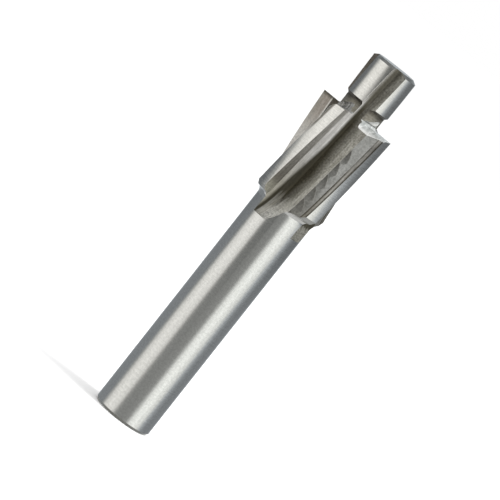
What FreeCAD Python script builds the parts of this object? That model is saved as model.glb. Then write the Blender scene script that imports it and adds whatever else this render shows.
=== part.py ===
import FreeCAD, Part
import math
import os

from FreeCAD import Placement, Rotation, Vector

# A piloted counterbore cutter for socket head screws, ground from one bar of high speed steel.
# The origin is the centre of the shank's flat end, and +Z runs along the axis to the tip of the pilot.
# At the cutting plane one of the end cutting edges lies along +X. Lengths are millimetres.

# Shank
shank_diameter = 8.0
shank_length = 34.1
butt_chamfer_width = 0.45
butt_chamfer_height = 0.35

# Cutting head, measured from the back edge of its full diameter to the end cutting edges
head_diameter = 11.0
head_length = 13.2
back_chamfer_width = 0.55
back_chamfer_height = 0.62

# Neck between the end cutting edges and the pilot
neck_diameter = 5.7
neck_length = 1.7
neck_root_radius = 0.3

# Pilot
pilot_diameter = 6.4
pilot_length = 6.0
pilot_back_chamfer_height = 0.33
tip_chamfer_width = 0.55
tip_chamfer_height = 0.35

# Flutes: right-hand helix, one ahead of each tooth, running on through the neck and the pilot
flute_count = 4
helix_angle = 10.0
land_width = 1.7
rake_face_depth = 1.53
rake_lean = 10.0
flute_depth = 3.0
root_radius = 0.7
ridge_behind = 37.1
heel_depth = 0.56
heel_base_behind = 21.5

# The flute wheel leaves the shank along its own round rim, while the bar still turns at the helix,
# and stops at a low step
flute_wheel_radius = 10.0
full_depth_length = 12.45
runout_length = 4.2

# End relief of each tooth: a shallow pass from the cutting edge and a steep one behind it, both by
# a thin round-edged wheel that also bites into the neck
relief_wheel_radius = 12.0
relief_approach = 28.0
edge_relief_angle = 5.0
edge_wheel_width = 0.7
edge_bite = 0.3
clearance_angle = 32.0
clearance_behind = 1.35
clearance_wheel_width = 0.85
clearance_bite = 0.4

# How far a cutting tool reaches past the stock that it cuts
overrun = 1.2

# Sections of the swept flute: one in each of these lengths
helix_section_step = 1.8
runout_section_count = 9

# Places that follow from the sizes
shank_radius = shank_diameter / 2
head_radius = head_diameter / 2
neck_radius = neck_diameter / 2
pilot_radius = pilot_diameter / 2
head_back = shank_length
cutting_plane = head_back + head_length
pilot_back = cutting_plane + neck_length
tip = pilot_back + pilot_length
helix_lead = math.pi * head_diameter / math.tan(math.radians(helix_angle))
tooth_pitch = 360 / flute_count
floor_offset = head_radius - flute_depth


def line(start, end):
    return Part.LineSegment(start, end).toShape()


def arc_between(start, end, centre):
    """The shorter arc from start to end about centre."""
    radius = (start - centre).Length
    toward_middle = (start + end) * 0.5 - centre
    toward_middle.normalize()
    return Part.Arc(start, centre + toward_middle * radius, end).toShape()


def half_plane_point(radius, height):
    return Vector(radius, 0, height)


def turned_blank():
    """The bar turned to its steps, chamfers and fillets, before any flute is cut."""
    back_fillet = head_radius - back_chamfer_width - shank_radius
    shoulder = head_back - back_chamfer_height
    butt_centre = half_plane_point(0, 0)
    butt_edge = half_plane_point(shank_radius - butt_chamfer_width, 0)
    shank_foot = half_plane_point(shank_radius, butt_chamfer_height)
    shank_top = half_plane_point(shank_radius, shoulder - back_fillet)
    shoulder_edge = half_plane_point(shank_radius + back_fillet, shoulder)
    shoulder_centre = half_plane_point(shank_radius + back_fillet, shoulder - back_fillet)
    head_foot = half_plane_point(head_radius, head_back)
    head_top = half_plane_point(head_radius, cutting_plane)
    neck_root = half_plane_point(neck_radius + neck_root_radius, cutting_plane)
    neck_foot = half_plane_point(neck_radius, cutting_plane + neck_root_radius)
    neck_centre = half_plane_point(
        neck_radius + neck_root_radius, cutting_plane + neck_root_radius)
    neck_top = half_plane_point(neck_radius, pilot_back)
    pilot_foot = half_plane_point(pilot_radius, pilot_back + pilot_back_chamfer_height)
    pilot_top = half_plane_point(pilot_radius, tip - tip_chamfer_height)
    tip_edge = half_plane_point(pilot_radius - tip_chamfer_width, tip)
    tip_centre = half_plane_point(0, tip)
    outline = Part.Wire([
        line(butt_centre, butt_edge),
        line(butt_edge, shank_foot),
        line(shank_foot, shank_top),
        arc_between(shank_top, shoulder_edge, shoulder_centre),
        line(shoulder_edge, head_foot),
        line(head_foot, head_top),
        line(head_top, neck_root),
        arc_between(neck_root, neck_foot, neck_centre),
        line(neck_foot, neck_top),
        line(neck_top, pilot_foot),
        line(pilot_foot, pilot_top),
        line(pilot_top, tip_edge),
        line(tip_edge, tip_centre),
        line(tip_centre, butt_centre),
    ])
    return Part.Face(outline).revolve(Vector(0, 0, 0), Vector(0, 0, 1), 360)


def at_angle(radius, degrees):
    return Vector(radius * math.cos(math.radians(degrees)), radius * math.sin(math.radians(degrees)), 0)


def flute_section():
    """The flute's cross-section, with the cutting edge that it serves on the +X axis."""
    rake_out = Vector(head_radius + overrun, 0, 0)
    rake_break = Vector(head_radius - rake_face_depth, 0, 0)
    lean = math.tan(math.radians(rake_lean))
    root = Vector(floor_offset, (rake_break.x - floor_offset) * lean, 0)
    ridge_angle = tooth_pitch - ridge_behind
    ridge = Vector(floor_offset, floor_offset * math.tan(math.radians(ridge_angle)), 0)
    heel_base = at_angle(head_radius - heel_depth, tooth_pitch - heel_base_behind)
    heel = at_angle(head_radius, tooth_pitch - math.degrees(land_width / head_radius))
    heel_out = heel + (heel - heel_base).normalize() * overrun
    corner_out = Vector(head_radius + overrun, heel_out.y, 0)

    toward_rake = (rake_break - root).normalize()
    toward_ridge = (ridge - root).normalize()
    half_angle = toward_rake.getAngle(toward_ridge) / 2
    setback = root_radius / math.tan(half_angle)
    rake_end = root + toward_rake * setback
    floor_start = root + toward_ridge * setback
    root_bisector = (toward_rake + toward_ridge).normalize()
    root_centre = root + root_bisector * (root_radius / math.sin(half_angle))

    return Part.Wire([
        line(rake_out, rake_break),
        line(rake_break, rake_end),
        arc_between(rake_end, floor_start, root_centre),
        line(floor_start, ridge),
        line(ridge, heel_base),
        line(heel_base, heel_out),
        line(heel_out, corner_out),
        line(corner_out, rake_out),
    ])


def helix_turn(height):
    """How far the flute has turned at a height, in degrees from the cutting plane."""
    return 360 * (height - cutting_plane) / helix_lead


def flute_places():
    """Where each section of the flute stands: its height, its lift and its turn.

    Past the last height at full depth the floor rises in an arc as round as the wheel's rim.
    """
    last_full = cutting_plane - full_depth_length
    places = []
    for i in range(runout_section_count, 0, -1):
        past = runout_length * i / runout_section_count
        lift = flute_wheel_radius - math.sqrt(flute_wheel_radius ** 2 - past ** 2)
        places.append((last_full - past, lift, helix_turn(last_full - past)))
    helix_length = tip + overrun - last_full
    helix_sections = math.ceil(helix_length / helix_section_step)
    for i in range(helix_sections + 1):
        along = helix_length * i / helix_sections
        places.append((last_full + along, 0, helix_turn(last_full + along)))
    return places


def flute_cutter():
    """What the flute wheel takes away ahead of one tooth."""
    section = flute_section()
    wires = []
    for height, lift, turn in flute_places():
        placed = section.copy()
        placed.translate(Vector(lift, 0, height))
        placed.rotate(Vector(0, 0, 0), Vector(0, 0, 1), turn)
        wires.append(placed)
    return Part.makeLoft(wires, True, False)


def relief_wheel(width):
    """A round-edged wheel, standing on its lower face about +Z."""
    edge_radius = width / 2
    flat = relief_wheel_radius - edge_radius
    low_centre = half_plane_point(0, 0)
    low_edge = half_plane_point(flat, 0)
    rim = half_plane_point(relief_wheel_radius, edge_radius)
    high_edge = half_plane_point(flat, width)
    high_centre = half_plane_point(0, width)
    outline = Part.Wire([
        line(low_centre, low_edge),
        Part.Arc(low_edge, rim, high_edge).toShape(),
        line(high_edge, high_centre),
        line(high_centre, low_centre),
    ])
    return Part.Face(outline).revolve(Vector(0, 0, 0), Vector(0, 0, 1), 360)


def relief_cutter(width, slope, behind, drop, bite):
    """What one pass over the end of the tooth on +X takes away.

    The wheel's lower face falls at slope away from the cutting edge, and lies drop below the
    cutting plane at the distance behind that edge.
    """
    approach = math.radians(relief_approach)
    fall = math.tan(math.radians(slope))
    toward_wheel = Vector(math.cos(approach), -math.sin(approach), 0)
    face_normal = Vector(0, -fall, 1).normalize()
    along_face = (toward_wheel - face_normal * toward_wheel.dot(face_normal)).normalize()
    touch = toward_wheel * (neck_radius - bite)
    touch.z = cutting_plane - drop + fall * (touch.y + behind)
    centre = touch + along_face * relief_wheel_radius
    wheel = relief_wheel(width)
    wheel.Placement = Placement(centre, Rotation(Vector(0, 0, 1), face_normal))
    return wheel


def edge_relief():
    return relief_cutter(edge_wheel_width, edge_relief_angle, 0, 0, edge_bite)


def clearance_relief():
    """The steep pass starts where the shallow one has reached clearance_behind."""
    drop = clearance_behind * math.tan(math.radians(edge_relief_angle))
    return relief_cutter(
        clearance_wheel_width, clearance_angle, clearance_behind, drop, clearance_bite)


def around(shape):
    """One copy of shape for each tooth."""
    copies = []
    for i in range(flute_count):
        copy = shape.copy()
        copy.rotate(Vector(0, 0, 0), Vector(0, 0, 1), i * tooth_pitch)
        copies.append(copy)
    return copies


def counterbore_cutter():
    cutter = turned_blank()
    for tool in (flute_cutter(), edge_relief(), clearance_relief()):
        for copy in around(tool):
            cutter = cutter.cut(copy)
    return cutter.removeSplitter()


os.makedirs("parts", exist_ok=True)
body = counterbore_cutter()
print("solids", len(body.Solids), "valid", body.isValid(), "faces", len(body.Faces),
      "volume", round(body.Volume, 2), "box", body.optimalBoundingBox())
body.Solids[0].exportStep("parts/counterbore_cutter.step")
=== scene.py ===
import math
import bpy
from mathutils import Matrix, Vector


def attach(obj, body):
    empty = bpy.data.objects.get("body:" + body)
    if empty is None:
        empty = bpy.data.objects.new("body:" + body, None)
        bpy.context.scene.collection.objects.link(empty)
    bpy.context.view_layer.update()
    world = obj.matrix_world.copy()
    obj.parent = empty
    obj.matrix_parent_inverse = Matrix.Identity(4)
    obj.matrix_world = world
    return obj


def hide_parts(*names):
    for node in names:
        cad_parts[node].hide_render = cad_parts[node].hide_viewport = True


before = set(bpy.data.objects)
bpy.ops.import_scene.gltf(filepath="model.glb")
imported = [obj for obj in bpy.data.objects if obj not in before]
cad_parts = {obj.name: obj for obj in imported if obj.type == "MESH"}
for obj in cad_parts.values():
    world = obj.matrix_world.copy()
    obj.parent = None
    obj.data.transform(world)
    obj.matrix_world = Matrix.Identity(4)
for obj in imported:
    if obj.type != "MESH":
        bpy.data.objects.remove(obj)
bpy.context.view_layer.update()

cutter = bpy.data.objects["counterbore_cutter"]

# The cutter's sizes are given in millimetres, and Blender works in metres
mm = 1000.0


# Camera: a long lens from a little above, rolled so that the standing tool leans to the right
view = {
    "azimuth": 18.3,
    "elevation": 6.1,
    "distance": 0.440,
    "roll": 38.25,
    "lens": 257.3,
    "sensor": 36.0,
    "clip": (0.01, 20.0),
    "aimHeight": 0.0275,
    "aimPixel": (258.15, 242.75),
    "imageSize": 500,
}


def makeCamera():
    a = math.radians(view["azimuth"])
    e = math.radians(view["elevation"])
    back = Vector((math.sin(a) * math.cos(e), -math.cos(a) * math.cos(e), math.sin(e)))
    data = bpy.data.cameras.new("photoCamera")
    camera = bpy.data.objects.new("photoCamera", data)
    bpy.context.collection.objects.link(camera)
    data.lens = view["lens"]
    data.sensor_width = view["sensor"]
    data.clip_start, data.clip_end = view["clip"]
    aim = Vector((0, 0, view["aimHeight"]))
    place = Matrix.Translation(aim + back * view["distance"])
    turn = (-back).to_track_quat("-Z", "Y").to_matrix()
    roll = Matrix.Rotation(math.radians(view["roll"]), 3, "Z")
    camera.matrix_world = place @ (turn @ roll).to_4x4()
    size = view["imageSize"]
    data.shift_x = (size / 2 - view["aimPixel"][0]) / size
    data.shift_y = (view["aimPixel"][1] - size / 2) / size
    bpy.context.scene.camera = camera
    print("camera made")


# Studio: a pale floor, a white surround, a lamp from the right, and a ring and two discs of soft
# light that only reflections see. The ring changes from its low to its high brightness between
# "lowTop" and "highBottom".
studio = {
    "ringRadius": 0.45,
    "ringBottom": -0.35,
    "ringTop": 0.55,
    "ringStep": 2.0,
    "lowTop": -0.036,
    "highBottom": -0.018,
    "discCorners": 48,
    "overheadColour": (0.36, 0.36, 0.36),
    "underColour": (0.62, 0.62, 0.61),
    "floorSize": 4.0,
    "floorColour": (1.0, 1.0, 1.0),
    "surroundStrength": 1.0,
    "lampAzimuth": 82,
    "lampDistance": 0.35,
    "lampHeight": 0.45,
    "lampSize": 0.25,
    "lampPower": 2.4,
}

# The ring round the tool: azimuth from the camera, low and high brightness, and tint
coolTint = (0.925, 0.985, 1.03)
warmTint = (1.0, 0.99, 0.95)
greyTint = (0.985, 1.0, 0.965)
ringStops = [
    (-180, 0.75, 0.70, coolTint),
    (-150, 0.27, 0.17, coolTint),
    (-98, 0.27, 0.17, coolTint),
    (-89, 0.38, 0.36, greyTint),
    (-80, 0.78, 0.82, warmTint),
    (-60, 0.96, 1.01, warmTint),
    (-37, 0.82, 0.86, warmTint),
    (-29, 0.44, 0.34, warmTint),
    (-22, 0.29, 0.17, greyTint),
    (0, 0.27, 0.165, greyTint),
    (22, 0.31, 0.18, greyTint),
    (29, 0.52, 0.48, greyTint),
    (37, 0.96, 0.98, greyTint),
    (55, 1.12, 1.14, greyTint),
    (76, 0.81, 0.86, greyTint),
    (87, 0.44, 0.46, coolTint),
    (98, 0.30, 0.28, coolTint),
    (110, 0.25, 0.18, coolTint),
    (150, 0.27, 0.16, coolTint),
    (180, 0.75, 0.70, coolTint),
]


def glowMaterial(name, colour=None):
    material = bpy.data.materials.new(name)
    material.use_nodes = True
    nodes = material.node_tree.nodes
    links = material.node_tree.links
    nodes.clear()
    glow = nodes.new("ShaderNodeEmission")
    out = nodes.new("ShaderNodeOutputMaterial")
    links.new(glow.outputs["Emission"], out.inputs["Surface"])
    if colour:
        glow.inputs["Color"].default_value = (*colour, 1)
    else:
        shade = nodes.new("ShaderNodeAttribute")
        shade.attribute_name = "shade"
        links.new(shade.outputs["Color"], glow.inputs["Color"])
    return material


def onlyReflected(card):
    card.visible_camera = False
    card.visible_diffuse = False
    card.visible_shadow = False
    card.visible_transmission = False


def shadedMesh(name, corners, shades, faces):
    mesh = bpy.data.meshes.new(name)
    mesh.from_pydata(corners, [], faces)
    layer = mesh.color_attributes.new("shade", "FLOAT_COLOR", "POINT")
    for i, shade in enumerate(shades):
        layer.data[i].color = shade
    card = bpy.data.objects.new(name, mesh)
    bpy.context.collection.objects.link(card)
    mesh.materials.append(glowMaterial(name))
    onlyReflected(card)


def ringPoint(azimuth, radius, height):
    a = math.radians(view["azimuth"] + azimuth)
    return math.sin(a) * radius, -math.cos(a) * radius, height


def between(first, last, part):
    return first * (1 - part) + last * part


def ringShade(azimuth, column):
    for first, last in zip(ringStops, ringStops[1:]):
        if azimuth <= last[0]:
            part = (azimuth - first[0]) / (last[0] - first[0])
            bright = between(first[column], last[column], part)
            tint = [between(p, q, part) for p, q in zip(first[-1], last[-1])]
            return [bright * share for share in tint] + [1.0]


def makeRing():
    low, high = 1, 2
    rows = (
        (studio["ringBottom"], low),
        (studio["lowTop"], low),
        (studio["highBottom"], high),
        (studio["ringTop"], high),
    )
    corners = []
    shades = []
    faces = []
    steps = round(360 / studio["ringStep"])
    for i in range(steps + 1):
        azimuth = -180 + i * studio["ringStep"]
        for height, column in rows:
            corners.append(ringPoint(azimuth, studio["ringRadius"], height))
            shades.append(ringShade(azimuth, column))
    for i in range(steps):
        for k in range(len(rows) - 1):
            corner = len(rows) * i + k
            beside = corner + len(rows)
            faces.append((corner, beside, beside + 1, corner + 1))
    shadedMesh("lightRing", corners, shades, faces)


def makeDisc(name, height, colour):
    bpy.ops.mesh.primitive_circle_add(
        vertices=studio["discCorners"], radius=studio["ringRadius"], fill_type="NGON",
        location=(0, 0, height))
    disc = bpy.context.object
    disc.name = name
    disc.data.materials.append(glowMaterial(name, colour))
    onlyReflected(disc)


def makeFloor():
    bpy.ops.mesh.primitive_plane_add(size=studio["floorSize"], location=(0, 0, 0))
    floor = bpy.context.object
    floor.name = "floor"
    floor.visible_glossy = False
    material = bpy.data.materials.new("paleFloor")
    material.use_nodes = True
    shader = material.node_tree.nodes["Principled BSDF"]
    shader.inputs["Base Color"].default_value = (*studio["floorColour"], 1)
    shader.inputs["Roughness"].default_value = 1.0
    shader.inputs["Specular IOR Level"].default_value = 0.0
    floor.data.materials.append(material)


def makeLamp():
    place = ringPoint(studio["lampAzimuth"], studio["lampDistance"], studio["lampHeight"])
    bpy.ops.object.light_add(type="AREA", location=place)
    lamp = bpy.context.object
    lamp.name = "sideLamp"
    lamp.data.size = studio["lampSize"]
    lamp.data.energy = studio["lampPower"]
    towardTool = Vector((0, 0, view["aimHeight"])) - Vector(place)
    lamp.rotation_euler = towardTool.to_track_quat("-Z", "Y").to_euler()
    lamp.visible_glossy = False


def makeStudio():
    makeRing()
    makeDisc("overheadCard", studio["ringTop"], studio["overheadColour"])
    makeDisc("underCard", studio["ringBottom"], studio["underColour"])
    makeFloor()
    makeLamp()
    world = bpy.data.worlds.new("surround")
    bpy.context.scene.world = world
    world.use_nodes = True
    background = world.node_tree.nodes["Background"]
    background.inputs["Color"].default_value = (1, 1, 1, 1)
    background.inputs["Strength"].default_value = studio["surroundStrength"]
    print("studio made")


# Shader groups that the finishes share, and the small steps that they are built from. A value is a
# number, a colour or another node's socket.
def newGroup(name, inputs, outputs):
    group = bpy.data.node_groups.new(name, "ShaderNodeTree")
    for socketName, kind, value in inputs:
        socket = group.interface.new_socket(
            socketName, in_out="INPUT", socket_type="NodeSocket" + kind)
        if value is not None:
            socket.default_value = value
    for socketName, kind in outputs:
        group.interface.new_socket(socketName, in_out="OUTPUT", socket_type="NodeSocket" + kind)
    start = group.nodes.new("NodeGroupInput")
    end = group.nodes.new("NodeGroupOutput")
    return group, start.outputs, end.inputs


def feed(tree, value, socket):
    if isinstance(value, (tuple, float, int)):
        socket.default_value = value
    else:
        tree.links.new(value, socket)


def calc(tree, operation, *values):
    node = tree.nodes.new("ShaderNodeMath")
    node.operation = operation
    for value, socket in zip(values, node.inputs):
        feed(tree, value, socket)
    return node.outputs["Value"]


def rescale(tree, value, low, high, bottom=0.0, top=1.0):
    node = tree.nodes.new("ShaderNodeMapRange")
    feed(tree, value, node.inputs["Value"])
    feed(tree, low, node.inputs["From Min"])
    feed(tree, high, node.inputs["From Max"])
    feed(tree, bottom, node.inputs["To Min"])
    feed(tree, top, node.inputs["To Max"])
    return node.outputs["Result"]


def mixColour(tree, factor, first, second, blend="MIX"):
    node = tree.nodes.new("ShaderNodeMix")
    node.data_type = "RGBA"
    node.blend_type = blend
    feed(tree, factor, node.inputs["Factor"])
    feed(tree, first, node.inputs["A"])
    feed(tree, second, node.inputs["B"])
    return node.outputs["Result"]


def noise(tree, place, scale, detail, roughness):
    node = tree.nodes.new("ShaderNodeTexNoise")
    feed(tree, place, node.inputs["Vector"])
    feed(tree, scale, node.inputs["Scale"])
    feed(tree, detail, node.inputs["Detail"])
    feed(tree, roughness, node.inputs["Roughness"])
    return node.outputs["Fac"]


def stretch(tree, place, across, along):
    scale = tree.nodes.new("ShaderNodeCombineXYZ")
    feed(tree, across, scale.inputs["X"])
    feed(tree, along, scale.inputs["Y"])
    product = tree.nodes.new("ShaderNodeVectorMath")
    product.operation = "MULTIPLY"
    feed(tree, place, product.inputs[0])
    feed(tree, scale.outputs["Vector"], product.inputs[1])
    return product.outputs["Vector"]


def heightOf(tree):
    place = tree.nodes.new("ShaderNodeTexCoord")
    parts = tree.nodes.new("ShaderNodeSeparateXYZ")
    feed(tree, place.outputs["Object"], parts.inputs["Vector"])
    return calc(tree, "MULTIPLY", parts.outputs["Z"], mm)


# Grinding marks: fine noise plus a broader one, both drawn out along the grain. "span" is what of
# their sum goes from dark to light.
grain = {
    "fineDetail": 5.0,
    "broadShare": 0.45,
    "broadDetail": 2.0,
    "roughness": 0.6,
    "span": (0.76, 1.24),
}


def makeMarksGroup():
    group, start, end = newGroup(
        "grindMarks",
        [("Place", "Vector", None), ("Across", "Float", 8.0), ("Along", "Float", 0.4)],
        [("Lines", "Float"), ("Height", "Float")])
    finePlace = stretch(group, start["Place"], start["Across"], start["Along"])
    fine = noise(group, finePlace, 1.0, grain["fineDetail"], grain["roughness"])
    broadAcross = calc(group, "MULTIPLY", start["Across"], grain["broadShare"])
    broadPlace = stretch(group, start["Place"], broadAcross, start["Along"])
    broad = noise(group, broadPlace, 1.0, grain["broadDetail"], grain["roughness"])
    both = calc(group, "ADD", fine, broad)
    feed(group, rescale(group, both, *grain["span"]), end["Lines"])
    feed(group, fine, end["Height"])
    return group


# Flecks that darken a finish. "span" is what of the noise goes from no fleck to a full one.
flecks = {
    "detail": 3.0,
    "roughness": 0.7,
    "span": (0.40, 0.62),
}


def makeSpeckleGroup():
    group, start, end = newGroup(
        "speckle",
        [("Place", "Vector", None), ("Density", "Float", 3.0), ("Amount", "Float", 0.1),
         ("Colour", "Color", (1, 1, 1, 1))],
        [("Colour", "Color")])
    cloud = noise(group, start["Place"], start["Density"], flecks["detail"], flecks["roughness"])
    spots = rescale(group, cloud, *flecks["span"])
    kept = calc(group, "SUBTRACT", 1.0, calc(group, "MULTIPLY", spots, start["Amount"]))
    feed(group, mixColour(group, 1.0, start["Colour"], kept, "MULTIPLY"), end["Colour"])
    return group


def makeFadeGroup():
    group, start, end = newGroup(
        "fade",
        [("Value", "Float", 0.0), ("From", "Float", 0.0), ("To", "Float", 1.0),
         ("Last", "Float", 1.0), ("Limit", "Float", 1.0), ("Limit From", "Float", 0.0),
         ("Limit To", "Float", 1.0), ("Colour", "Color", (1, 1, 1, 1)),
         ("Target", "Color", (0, 0, 0, 1))],
        [("Colour", "Color")])
    part = rescale(group, start["Value"], start["From"], start["To"], 0.0, start["Last"])
    limit = rescale(group, start["Limit"], start["Limit From"], start["Limit To"])
    share = calc(group, "MULTIPLY", part, limit)
    feed(group, mixColour(group, share, start["Colour"], start["Target"]), end["Colour"])
    return group


# Scallops that the wheel left beside the ridge, one below another, in millimetres: each starts as a
# point at its top, is widest at "peak" of its pitch and ends at "foot" of its width. They are
# "broader" lower down, and lie on a dull band that widens from "bandTop" to "bandFoot", each a
# height and a width. Both die out between the heights of "fadeOut". For the mesh, "depth" is how
# far they go into the facet, and "cuts" how finely the facet's edges are divided for them.
scallops = {
    "pitch": 2.04,
    "first": 45.86,
    "width": 0.80,
    "peak": 0.75,
    "swell": 0.55,
    "foot": 0.72,
    "edge": 0.10,
    "fading": 0.45,
    "bandTop": (42.5, 0.20),
    "bandFoot": (34.8, 1.3),
    "bandEdge": (1.3, 0.7),
    "bandShare": 0.57,
    "broader": 0.40,
    "fadeOut": (43.75, 43.95),
    "depth": 0.05,
    "cuts": 11,
}


def makeScallopGroup():
    group, start, end = newGroup(
        "scallops", [("Across", "Float", 0.0), ("Height", "Float", 0.0)], [("Mask", "Float")])
    across, height = start["Across"], start["Height"]
    below = calc(group, "SUBTRACT", scallops["first"], height)
    phase = calc(group, "FRACT", calc(group, "DIVIDE", below, scallops["pitch"]))
    opening = rescale(group, phase, 0.0, scallops["peak"])
    rise = calc(group, "POWER", opening, scallops["swell"])
    closing = rescale(group, phase, 1.0, scallops["peak"])
    fall = calc(group, "MULTIPLY_ADD", closing, 1.0 - scallops["foot"], scallops["foot"])
    shape = calc(group, "MINIMUM", rise, fall)
    (top, topWidth), (foot, footWidth) = scallops["bandTop"], scallops["bandFoot"]
    lower = rescale(group, height, top, foot)
    reach = calc(group, "MULTIPLY_ADD", lower, scallops["broader"], scallops["width"])
    inside = calc(group, "SUBTRACT", calc(group, "MULTIPLY", shape, reach), across)
    dish = rescale(group, inside, 0.0, scallops["edge"])
    fading = calc(group, "MULTIPLY_ADD", phase, -scallops["fading"], 1.0)
    bandWidth = calc(group, "MULTIPLY_ADD", lower, footWidth - topWidth, topWidth)
    band = rescale(group, calc(group, "DIVIDE", across, bandWidth), *scallops["bandEdge"])
    bandMask = calc(group, "MULTIPLY", band, scallops["bandShare"])
    mask = calc(group, "MAXIMUM", calc(group, "MULTIPLY", dish, fading), bandMask)
    first, last = scallops["fadeOut"]
    kept = rescale(group, height, last, first)
    feed(group, calc(group, "MULTIPLY", mask, kept), end["Mask"])
    return group


def limited(value):
    return max(0.0, min(1.0, value))


# The same scallops for the mesh: how much of their depth a place has
def scallopShare(across, height):
    phase = ((scallops["first"] - height) / scallops["pitch"]) % 1.0
    rise = limited(phase / scallops["peak"]) ** scallops["swell"]
    closing = limited((1 - phase) / (1 - scallops["peak"]))
    shape = min(rise, closing * (1 - scallops["foot"]) + scallops["foot"])
    top, foot = scallops["bandTop"][0], scallops["bandFoot"][0]
    lower = limited((top - height) / (top - foot))
    reach = scallops["width"] + scallops["broader"] * lower
    dish = limited((shape * reach - across) / scallops["edge"])
    first, last = scallops["fadeOut"]
    kept = limited((last - height) / (last - first))
    return dish * (1 - scallops["fading"] * phase) * kept


marksGroup = makeMarksGroup()
fadeGroup = makeFadeGroup()
speckleGroup = makeSpeckleGroup()
scallopGroup = makeScallopGroup()


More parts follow.
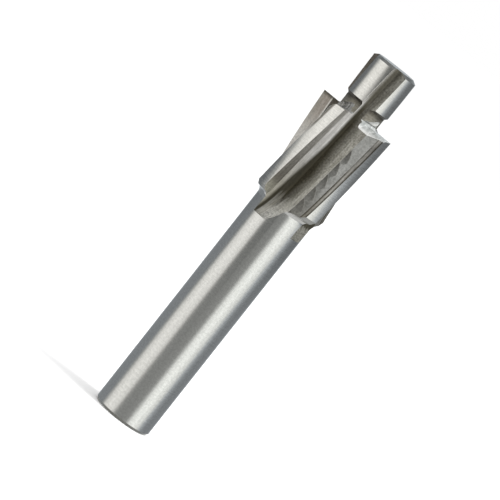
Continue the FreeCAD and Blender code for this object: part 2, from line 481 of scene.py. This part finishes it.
# How each way of grinding or turning the steel looks: the light and dark colour of its marks, metal
# share, roughness and how far that spreads, marks per millimetre across and along the face, bump in
# millimetres, and the density and amount of its flecks. "streaks" lays the marks over the fades.
# Each fade names what it follows, from, to, how far it goes and the colour it ends in, and some go
# on to name what limits it, from and to. They follow millimetres across the face, the same shifted
# by "climb" at each of its heights ("climbing"), the height ("upward"), or the height made uneven
# by the marks ("ragged").
# Several of the fades and finishes below are painted shade, shadow or highlight, each marked where
# it stands.
darkOlive = (0.040, 0.035, 0.020)
darkFloor = (0.054, 0.047, 0.028)
paleGrey = (0.80, 0.79, 0.74)
landLook = {
    "light": (0.885, 0.878, 0.858), "dark": (0.765, 0.758, 0.735), "metal": 1.0,
    "roughness": 0.18, "spread": 0.05, "lines": (0.8, 10.0), "bump": 0.0015,
    "speckle": (3.0, 0.10),
}
finishes = {
    "shankGround": {
        "light": (0.84, 0.84, 0.83), "dark": (0.77, 0.77, 0.755), "metal": 1.0,
        "roughness": 0.165, "spread": 0.03, "lines": (0.5, 12.0), "bump": 0.0008,
        "speckle": (3.0, 0.11),
    },
    "landGround": landLook,
    "landEdged": {
        **landLook,
        "fades": [("across", 0.40, 0.18, 0.85, (0.12, 0.11, 0.09), "upward", 42.0, 44.0)],
    },
    "rakeTop": {
        "light": (0.37, 0.36, 0.335), "dark": (0.21, 0.20, 0.178), "metal": 0.4,
        "roughness": 0.34, "spread": 0.08, "lines": (5.0, 0.30), "bump": 0.002,
        "speckle": (3.4, 0.30),
        "fades": [
            # painted shade: darker towards the bottom of the flute
            ("upward", 42.0, 35.0, 0.72, (0.095, 0.083, 0.06)),
            ("upward", 35.7, 34.3, 0.85, (0.34, 0.33, 0.27)),
        ],
    },
    "rakeBrown": {
        "light": (0.47, 0.43, 0.385), "dark": (0.20, 0.168, 0.135), "metal": 0.4,
        "roughness": 0.34, "spread": 0.08, "lines": (3.4, 0.12), "bump": 0.002,
        "speckle": (3.4, 0.30),
        "fades": [
            ("upward", 45.0, 41.5, 0.75, (0.62, 0.61, 0.58)),
            ("across", 0.55, 0.20, 0.6, (0.31, 0.305, 0.265), "upward", 42.0, 44.0),
            ("across", 1.30, 1.45, 0.8, paleGrey),
            ("upward", 46.75, 47.2, 0.85, darkOlive),
        ],
    },
    "rakeSide": {
        "light": (0.62, 0.61, 0.59), "dark": (0.49, 0.48, 0.455), "metal": 0.3,
        "roughness": 0.36, "spread": 0.08, "lines": (5.0, 0.30), "bump": 0.002,
        "speckle": (3.0, 0.16), "ragged": 1.8, "streaks": 0.22,
        "climb": [(34.0, 0.90), (42.5, 0.0), (46.0, 0.07)],
        "fades": [
            # painted shade: darker towards the bottom of the flute
            ("upward", 41.0, 34.0, 0.6, (0.21, 0.19, 0.11)),
            # painted shade: darker near the top
            ("upward", 49.0, 51.0, 0.75, (0.15, 0.14, 0.115), "across", 0.86, 0.98),
            # the dark foot in the root corner: partly painted shade, partly a real stain
            ("climbing", 0.30, 0.72, 1.0, darkOlive),
            ("across", 1.25, 1.85, 1.0, darkFloor),
            # darker at the bottom of the root corner: partly painted shade, partly a real stain
            ("upward", 36.5, 34.0, 0.35, (0.085, 0.074, 0.045), "across", 1.05, 1.25),
            ("across", 1.30, 1.80, 0.8, (0.125, 0.117, 0.092), "upward", 48.3, 49.6),
            ("ragged", 35.3, 32.9, 0.9, (0.42, 0.41, 0.37), "across", 1.02, 1.20),
        ],
    },
    # painted shade: a darker copy of rakeSide for the teeth that are not lit
    "rakeDull": {
        "light": (0.34, 0.315, 0.295), "dark": (0.15, 0.13, 0.115), "metal": 0.5,
        "roughness": 0.36, "spread": 0.08, "lines": (4.0, 0.20), "bump": 0.002,
        "speckle": (3.4, 0.35), "ragged": 1.0,
        "fades": [
            ("across", -0.08, 0.06, 0.8, darkOlive, "upward", 49.5, 48.5),
            ("upward", 46.6, 47.2, 0.6, darkOlive),
            ("ragged", 34.2, 33.2, 0.9, (0.36, 0.35, 0.315), "across", 1.02, 1.14),
        ],
    },
    "fluteFloor": {
        "light": (0.49, 0.480, 0.436), "dark": (0.33, 0.318, 0.272), "metal": 0.65,
        "roughness": 0.42, "spread": 0.12, "lines": (4.5, 0.30), "bump": 0.005,
        "speckle": (3.8, 0.42), "ragged": 2.0, "streaks": 0.28,
        "climb": [
            (34.0, 0.55), (36.0, 0.25), (38.3, -0.18), (43.2, 0.33), (46.0, 0.30), (48.5, 0.95),
        ],
        "fades": [
            # the dark foot in the root corner: partly painted shade, partly a real stain
            ("climbing", 2.10, 1.55, 0.52, darkFloor),
            ("climbing", 1.55, 0.50, 1.0, darkFloor),
            ("across", 2.30, 2.70, 0.5, (0.17, 0.155, 0.125), "upward", 44.2, 45.4),
            # painted highlight: a lighter line along the ridge
            ("across", 2.93, 3.03, 0.6, (0.60, 0.58, 0.54), "upward", 43.4, 42.4),
            ("ragged", 35.4, 33.2, 0.9, paleGrey),
        ],
    },
    # painted shadow: the darker floor of one tooth, with a dark shadow band across its run-out
    "floorDull": {
        "light": (0.36, 0.34, 0.31), "dark": (0.17, 0.155, 0.13), "metal": 0.7,
        "roughness": 0.42, "spread": 0.12, "lines": (4.0, 0.25), "bump": 0.005,
        "speckle": (3.6, 0.50), "ragged": 0.5,
        "fades": [
            ("across", 2.75, 0.9, 1.0, darkOlive, "upward", 49.5, 48.5),
            # painted shadow: a dark band across the run-out
            ("ragged", 34.2, 34.0, 0.95, (0.085, 0.078, 0.054)),
            ("ragged", 32.95, 32.65, 0.9, (0.37, 0.36, 0.315)),
        ],
    },
    "facetGround": {
        "light": (0.60, 0.60, 0.575), "dark": (0.46, 0.46, 0.435), "metal": 0.62,
        "roughness": 0.36, "spread": 0.08, "lines": (4.0, 0.5), "bump": 0.003,
        "speckle": (3.4, 0.28), "scallop": (0.135, 0.131, 0.115),
        "fades": [
            ("upward", 38.5, 34.0, 0.7, (0.28, 0.275, 0.25)),
            ("upward", 43.5, 46.5, 0.6, (0.38, 0.38, 0.36)),
        ],
    },
    "heelGround": {
        "light": (0.58, 0.565, 0.53), "dark": (0.27, 0.258, 0.23), "metal": 0.7,
        "roughness": 0.36, "spread": 0.08, "lines": (5.0, 0.20), "bump": 0.003,
        "speckle": (3.4, 0.28), "streaks": 0.3,
        "fades": [
            ("upward", 40.0, 34.5, 0.75, (0.20, 0.19, 0.16)),
            ("across", 0.20, 0.04, 0.6, darkOlive),
            ("across", 0.30, 0.12, 0.65, darkOlive, "upward", 42.5, 41.0),
            ("across", 0.38, 0.52, 0.8, darkOlive),
        ],
    },
    "reliefGround": {
        "light": (0.70, 0.72, 0.705), "dark": (0.36, 0.375, 0.365), "metal": 0.35,
        "roughness": 0.24, "spread": 0.05, "lines": (2.4, 0.7), "bump": 0.002,
        "speckle": (2.6, 0.25),
        "fades": [
            ("upward", 46.95, 46.55, 0.9, (0.95, 0.95, 0.93)),
            ("upward", 47.50, 47.58, 0.85, (0.12, 0.12, 0.11), "across", 2.95, 2.80),
            ("upward", 47.64, 47.74, 1.0, (0.63, 0.635, 0.615)),
        ],
    },
    "reliefDull": {
        "light": (0.72, 0.715, 0.695), "dark": (0.10, 0.096, 0.083), "metal": 0.5,
        "roughness": 0.28, "spread": 0.05, "lines": (0.5, 1.1), "bump": 0.002,
        "speckle": (2.6, 0.35),
        "fades": [("upward", 47.25, 46.95, 0.8, (0.08, 0.073, 0.057), "across", 3.0, 3.3)],
    },
    "neckTurned": {
        "light": (0.38, 0.36, 0.315), "dark": (0.23, 0.215, 0.175), "metal": 0.75,
        "roughness": 0.38, "spread": 0.08, "lines": (0.8, 5.0), "bump": 0.003,
        "speckle": (3.4, 0.30),
        # painted shade: the neck darkens just under the pilot
        "fades": [("upward", 48.3, 48.9, 0.8, (0.07, 0.063, 0.048))],
    },
    # painted shade: the butt is made dark for the floor's contact shadow that its turned faces
    # reflect
    "buttTurned": {
        "light": (0.30, 0.30, 0.28), "dark": (0.20, 0.20, 0.18), "metal": 0.9,
        "roughness": 0.30, "spread": 0.06, "lines": (5.0, 0.4), "bump": 0.002,
        "speckle": (2.0, 0.15),
    },
    "faceTurned": {
        "light": (0.58, 0.585, 0.57), "dark": (0.44, 0.445, 0.43), "metal": 1.0,
        "roughness": 0.26, "spread": 0.06, "lines": (5.0, 0.4), "bump": 0.002,
        "speckle": (2.0, 0.15),
    },
    # painted shade: the pilot's back chamfer, which faces down, is made dark
    "pilotBack": {
        "light": (0.16, 0.15, 0.13), "dark": (0.10, 0.09, 0.075), "metal": 0.9,
        "roughness": 0.34, "spread": 0.06, "lines": (5.0, 0.4), "bump": 0.002,
        "speckle": (2.0, 0.15),
    },
}
finishNames = list(finishes)
bumpStrength = 0.5


def addGroup(tree, group, values):
    node = tree.nodes.new("ShaderNodeGroup")
    node.node_tree = group
    for name, value in values.items():
        feed(tree, value, node.inputs[name])
    return node.outputs


def climbedAcross(tree, across, height, climb):
    for (low, lowShift), (high, highShift) in zip(climb, climb[1:]):
        rise = rescale(tree, height, low, high)
        across = calc(tree, "MULTIPLY_ADD", rise, highShift - lowShift, across)
    return across


def fadedColour(tree, colour, followed, fades):
    for key, first, last, most, target, *limit in fades:
        values = {
            "Value": followed[key], "From": first, "To": last, "Last": most,
            "Colour": colour, "Target": (*target, 1),
        }
        if limit:
            key, first, last = limit
            values.update({"Limit": followed[key], "Limit From": first, "Limit To": last})
        colour = addGroup(tree, fadeGroup, values)["Colour"]
    return colour


def makeFinish(name):
    look = finishes[name]
    material = bpy.data.materials.new(name)
    material.use_nodes = True
    tree = material.node_tree
    uvMap = tree.nodes.new("ShaderNodeUVMap")
    uvMap.uv_map = "grindUV"
    place = uvMap.outputs["UV"]
    parts = tree.nodes.new("ShaderNodeSeparateXYZ")
    feed(tree, place, parts.inputs["Vector"])
    across = parts.outputs["X"]
    height = heightOf(tree)
    marksAcross, marksAlong = look["lines"]
    marks = addGroup(
        tree, marksGroup, {"Place": place, "Across": marksAcross, "Along": marksAlong})
    lines = marks["Lines"]
    followed = {
        "across": across,
        "climbing": climbedAcross(tree, across, height, look.get("climb", ())),
        "upward": height,
        "ragged": calc(tree, "MULTIPLY_ADD", lines, look.get("ragged", 0.0), height),
    }

    colour = mixColour(tree, lines, (*look["dark"], 1), (*look["light"], 1))
    colour = fadedColour(tree, colour, followed, look.get("fades", ()))
    if "streaks" in look:
        streak = calc(tree, "MULTIPLY_ADD", lines, look["streaks"], 1.0 - look["streaks"] / 2)
        colour = mixColour(tree, 1.0, colour, streak, "MULTIPLY")
    if "scallop" in look:
        mask = addGroup(tree, scallopGroup, {"Across": across, "Height": height})["Mask"]
        colour = mixColour(tree, mask, colour, (*look["scallop"], 1))
    density, amount = look["speckle"]
    flecked = addGroup(tree, speckleGroup, {
        "Place": place, "Density": density, "Amount": amount, "Colour": colour})

    smoothest = look["roughness"] - look["spread"]
    roughest = look["roughness"] + look["spread"]
    bump = tree.nodes.new("ShaderNodeBump")
    feed(tree, bumpStrength, bump.inputs["Strength"])
    feed(tree, look["bump"] / mm, bump.inputs["Distance"])
    feed(tree, marks["Height"], bump.inputs["Height"])

    shader = tree.nodes["Principled BSDF"]
    feed(tree, flecked["Colour"], shader.inputs["Base Color"])
    feed(tree, look["metal"], shader.inputs["Metallic"])
    feed(tree, rescale(tree, lines, 0.0, 1.0, smoothest, roughest), shader.inputs["Roughness"])
    feed(tree, bump.outputs["Normal"], shader.inputs["Normal"])
    return material


# The dressed cutter: a copy of the solid's mesh, its faces sorted by how each was ground, and on
# some teeth into copies with painted shade. Sizes are millimetres, and angles degrees.
grind = {
    "headRadius": 5.5,
    "shankRadius": 4.0,
    "shankFilletRadius": 0.95,
    "shankFilletCentre": (4.95, 32.53),
    "pilotRadius": 3.2,
    "neckRadius": 2.85,
    "cuttingPlane": 47.3,
    "pilotBack": 49.0,
    "pilotChamfer": 0.33,
    "endReliefDepth": 1.7,

    # The flutes: the section, its helix, and the run-out below the last height at full depth
    "toothCount": 4,
    "helixAngle": 10.0,
    "landWidth": 1.7,
    "rakeFaceDepth": 1.53,
    "rakeLean": 10.0,
    "floorOffset": 2.5,
    "rootRadius": 0.7,
    "ridgeBehind": 37.1,
    "heelDepth": 0.56,
    "heelBaseBehind": 21.5,
    "fullDepthLength": 12.45,
    "wheelRadius": 10.0,

    # The teeth whose surfaces look different from the rest
    # The teeth whose rake faces keep the lit finish; the others take copies with painted shade
    "litTeeth": (1, 3),
    # The tooth whose floor is darker, with a painted shadow across its run-out
    "shadowedFloors": (0,),
    "edgedLands": (3,),
    "dullReliefs": (3, 1),

    # How near a face lies to a surface that it belongs to, how nearly their normals agree, and the
    # heights and slopes that tell the other faces apart
    "turnedGap": 0.03,
    "turnedMatch": 0.97,
    "filletGap": 0.04,
    "filletSlope": 0.05,
    "landSpare": 1.0,
    "sideGap": 0.12,
    "sideMatch": 0.85,
    "turnWeight": 1.5,
    "rootGap": 0.05,
    "rootMatch": 0.9,
    "rootSpare": 0.5,
    "fluteBottom": 29.0,
    "fluteSlope": 0.6,
    "reliefSpare": 0.05,
    "buttTop": 1.0,
    "leastRadius": 1e-6,

    # How far apart the teeth's marks are taken from, so that they differ, and how the copied mesh
    # is joined, in metres, and shaded
    "toothShift": 20.0,
    "mergeDistance": 2e-6,
    "sharpAngle": 30.0,
}
# On the teeth that are not lit, the rake side takes a copy with painted shade, and the rake top a
# browner copy
otherToothNames = {"rakeSide": "rakeDull", "rakeTop": "rakeBrown"}
turnedWalls = (
    ("shankGround", grind["shankRadius"]),
    ("landGround", grind["pilotRadius"]),
    ("neckTurned", grind["neckRadius"]),
)
endFinishes = ("reliefGround", "reliefDull", "faceTurned", "buttTurned", "pilotBack")


def atAngle(radius, degrees):
    a = math.radians(degrees)
    return Vector((radius * math.cos(a), radius * math.sin(a)))


toothPitch = 360 / grind["toothCount"]
helixLead = math.pi * 2 * grind["headRadius"] / math.tan(math.radians(grind["helixAngle"]))
edge = Vector((grind["headRadius"], 0))
rakeBreak = Vector((grind["headRadius"] - grind["rakeFaceDepth"], 0))
rootRise = (rakeBreak.x - grind["floorOffset"]) * math.tan(math.radians(grind["rakeLean"]))
root = Vector((grind["floorOffset"], rootRise))
ridgeRise = grind["floorOffset"] * math.tan(math.radians(toothPitch - grind["ridgeBehind"]))
ridge = Vector((grind["floorOffset"], ridgeRise))
heelBaseTurn = toothPitch - grind["heelBaseBehind"]
heelBase = atAngle(grind["headRadius"] - grind["heelDepth"], heelBaseTurn)
heelTurn = toothPitch - math.degrees(grind["landWidth"] / grind["headRadius"])
heel = atAngle(grind["headRadius"], heelTurn)

# The flute's sides in its own frame, in the order that a section passes them. Each face keeps its
# side's number, and the rounded root and the land have the numbers after them.
fluteSides = [
    ("rakeTop", edge, rakeBreak),
    ("rakeSide", rakeBreak, root),
    ("fluteFloor", root, ridge),
    ("facetGround", ridge, heelBase),
    ("heelGround", heelBase, heel),
]
leaningSide, floorSide, rootSide, landSide = 1, 2, 5, 6
roundedSides = (leaningSide, floorSide, rootSide)

# The root's rounding, tangent to the leaning side and the floor
towardRake = (rakeBreak - root).normalized()
towardRidge = (ridge - root).normalized()
rootBisector = (towardRake + towardRidge).normalized()
rootHalfAngle = towardRake.angle(towardRidge) / 2
rootCentre = root + rootBisector * (grind["rootRadius"] / math.sin(rootHalfAngle))
rootStart = root + towardRake * (grind["rootRadius"] / math.tan(rootHalfAngle))
rootHalfTurn = math.pi / 2 - rootHalfAngle + math.radians(grind["rootSpare"])


def toothTurn(height, tooth):
    risen = height - grind["cuttingPlane"]
    turn = 2 * math.pi * risen / helixLead + math.radians(tooth * toothPitch)
    return math.cos(turn), math.sin(turn)


def toothFrame(point, tooth):
    c, s = toothTurn(point.z, tooth)
    lastFull = grind["cuttingPlane"] - grind["fullDepthLength"]
    past = max(0.0, lastFull - point.z)
    lift = grind["wheelRadius"] - math.sqrt(grind["wheelRadius"] ** 2 - past ** 2)
    return Vector((point.x * c + point.y * s - lift, -point.x * s + point.y * c))


def acrossSide(local, side):
    if side == landSide:
        return math.atan2(local.y, local.x) * grind["headRadius"] + grind["landWidth"]
    if side == rootSide:
        turned = (local - rootCentre).angle(rootStart - rootCentre)
        return (rootStart - rakeBreak).length + turned * grind["rootRadius"]
    start, end = fluteSides[side][1:]
    return (local - start).dot((end - start).normalized())


# The finish of a face on its tooth: the teeth that are not lit take copies with painted shade, and
# one floor has a painted shadow
def toothFinish(name, tooth):
    if name == "fluteFloor" and tooth in grind["shadowedFloors"]:
        return "floorDull"
    if tooth in grind["litTeeth"]:
        return name
    return otherToothNames.get(name, name)


def inRoot(local, facing):
    fromCentre = local - rootCentre
    return (abs(fromCentre.length - grind["rootRadius"]) < grind["rootGap"]
            and fromCentre.normalized().dot(-facing) > grind["rootMatch"]
            and fromCentre.angle(-rootBisector) < rootHalfTurn)


def sortLand(centre):
    for tooth in range(grind["toothCount"]):
        across = acrossSide(toothFrame(centre, tooth), landSide)
        if -grind["landSpare"] < across < grind["landWidth"] + grind["landSpare"]:
            name = "landEdged" if tooth in grind["edgedLands"] else "landGround"
            return name, tooth, landSide


def sortFlute(centre, normal):
    best = None
    for tooth in range(grind["toothCount"]):
        local = toothFrame(centre, tooth)
        c, s = toothTurn(centre.z, tooth)
        facing = Vector((normal.x * c + normal.y * s, -normal.x * s + normal.y * c))
        if inRoot(local, facing):
            return toothFinish("rakeSide", tooth), tooth, rootSide
        for side, (name, start, end) in enumerate(fluteSides):
            run = end - start
            part = limited((local - start).dot(run) / run.length_squared)
            gap = (local - (start + run * part)).length
            match = abs(Vector((-run.y, run.x)).normalized().dot(facing))
            score = gap + grind["turnWeight"] * (1 - match)
            near = gap < grind["sideGap"] and match > grind["sideMatch"]
            if near and (best is None or score < best[0]):
                best = (score, toothFinish(name, tooth), tooth, side)
    return best and best[1:]


def sortFace(centre, normal):
    radius = math.hypot(centre.x, centre.y)
    outward = (normal.x * centre.x + normal.y * centre.y) / max(radius, grind["leastRadius"])
    filletRadius, filletHeight = grind["shankFilletCentre"]
    fromFillet = math.hypot(radius - filletRadius, centre.z - filletHeight)
    if (outward > grind["filletSlope"] and normal.z < -grind["filletSlope"]
            and abs(fromFillet - grind["shankFilletRadius"]) < grind["filletGap"]):
        return "shankGround", None, None
    found = None
    if outward > grind["turnedMatch"]:
        for name, size in turnedWalls:
            if abs(radius - size) < grind["turnedGap"]:
                return name, None, None
        if abs(radius - grind["headRadius"]) < grind["turnedGap"]:
            found = sortLand(centre)
    if not found and abs(normal.z) < grind["fluteSlope"] and centre.z > grind["fluteBottom"]:
        found = sortFlute(centre, normal)
    if found:
        return found
    reliefTop = grind["pilotBack"] - grind["reliefSpare"]
    if grind["cuttingPlane"] - grind["endReliefDepth"] < centre.z < reliefTop:
        turned = math.degrees(math.atan2(centre.y, centre.x))
        tooth = math.ceil(turned / toothPitch) % grind["toothCount"]
        return "reliefDull" if tooth in grind["dullReliefs"] else "reliefGround", None, None
    if abs(centre.z - grind["pilotBack"]) < grind["pilotChamfer"]:
        return "pilotBack", None, None
    if centre.z < grind["buttTop"]:
        return "buttTurned", None, None
    return "faceTurned", None, None


# The shader's place on the face in millimetres: across and along its flute, out and round an end
# face, or round and along a turned wall
def facePlace(point, kind, tooth, side):
    around = math.atan2(point.y, point.x) * grind["shankRadius"]
    if side is not None:
        across = acrossSide(toothFrame(point, tooth), side)
        return across, point.z + tooth * grind["toothShift"]
    if kind in endFinishes:
        return math.hypot(point.x, point.y), around
    return around, point.z


def copyCutter():
    bpy.ops.object.select_all(action="DESELECT")
    cutter.select_set(True)
    bpy.context.view_layer.objects.active = cutter
    bpy.ops.object.duplicate()
    piece = bpy.context.object
    piece.name = "dressed_cutter"
    piece.data.name = "dressed_cutter"
    bpy.ops.mesh.customdata_custom_splitnormals_clear()
    bpy.ops.object.mode_set(mode="EDIT")
    bpy.ops.mesh.select_all(action="SELECT")
    bpy.ops.mesh.remove_doubles(threshold=grind["mergeDistance"])
    bpy.ops.mesh.select_all(action="DESELECT")
    bpy.ops.object.mode_set(mode="OBJECT")
    return piece


def finishFaces(mesh):
    mesh.materials.clear()
    for name in finishNames:
        mesh.materials.append(makeFinish(name))
    mesh.attributes.new("side", "INT", "FACE")
    mesh.attributes.new("tooth", "INT", "FACE")
    uv = mesh.uv_layers.new(name="grindUV")
    sideOf = mesh.attributes["side"].data
    toothOf = mesh.attributes["tooth"].data
    counts = {}
    for face in mesh.polygons:
        kind, tooth, side = sortFace(face.center * mm, face.normal)
        counts[kind] = counts.get(kind, 0) + 1
        face.material_index = finishNames.index(kind)
        toothOf[face.index].value = tooth or 0
        sideOf[face.index].value = -1 if side is None else side
        for loop in face.loop_indices:
            point = mesh.vertices[mesh.loops[loop].vertex_index].co * mm
            uv.data[loop].uv = facePlace(point, kind, tooth, side)
    print("faces by finish", counts)


def cutScallops(mesh):
    bpy.ops.object.mode_set(mode="EDIT")
    bpy.ops.mesh.select_mode(type="FACE")
    bpy.ops.mesh.select_all(action="DESELECT")
    bpy.ops.object.mode_set(mode="OBJECT")
    facet = finishNames.index("facetGround")
    for face in mesh.polygons:
        face.select = face.material_index == facet
    bpy.ops.object.mode_set(mode="EDIT")
    bpy.ops.mesh.subdivide(number_cuts=scallops["cuts"], ngon=False)
    bpy.ops.mesh.select_all(action="DESELECT")
    bpy.ops.object.mode_set(mode="OBJECT")
    toothOf = mesh.attributes["tooth"].data
    run = (heelBase - ridge).normalized()
    intoSteel = Vector((-run.y, run.x))
    moved = set()
    for face in mesh.polygons:
        if face.material_index != facet:
            continue
        tooth = toothOf[face.index].value
        for index in face.vertices:
            if index in moved:
                continue
            vertex = mesh.vertices[index]
            point = vertex.co * mm
            c, s = toothTurn(point.z, tooth)
            across = (toothFrame(point, tooth) - ridge).dot(run)
            share = scallopShare(across, vertex.co.z * mm)
            shift = intoSteel * (share * scallops["depth"] / mm)
            vertex.co.x += shift.x * c - shift.y * s
            vertex.co.y += shift.x * s + shift.y * c
            moved.add(index)
    print("scalloped corners", len(moved))


# Edges between different surfaces are sharp, but not where the rounded root meets its sides
def markEdges(mesh):
    sideOf = mesh.attributes["side"].data
    beside = {}
    for face in mesh.polygons:
        look = (face.material_index, sideOf[face.index].value)
        for key in face.edge_keys:
            beside.setdefault(key, []).append(look)
    marked = 0
    for line in mesh.edges:
        looks = beside[line.key]
        rounded = all(side in roundedSides for finish, side in looks)
        if len(set(looks)) > 1 and not rounded:
            line.use_edge_sharp = True
            marked += 1
    print("edges between surfaces", marked)


def dressCutter():
    piece = copyCutter()
    finishFaces(piece.data)
    cutScallops(piece.data)
    bpy.ops.object.shade_smooth_by_angle(angle=math.radians(grind["sharpAngle"]))
    markEdges(piece.data)
    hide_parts("counterbore_cutter")
    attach(piece, "root")


makeCamera()
makeStudio()
dressCutter()
bpy.context.scene.view_settings.view_transform = "Standard"
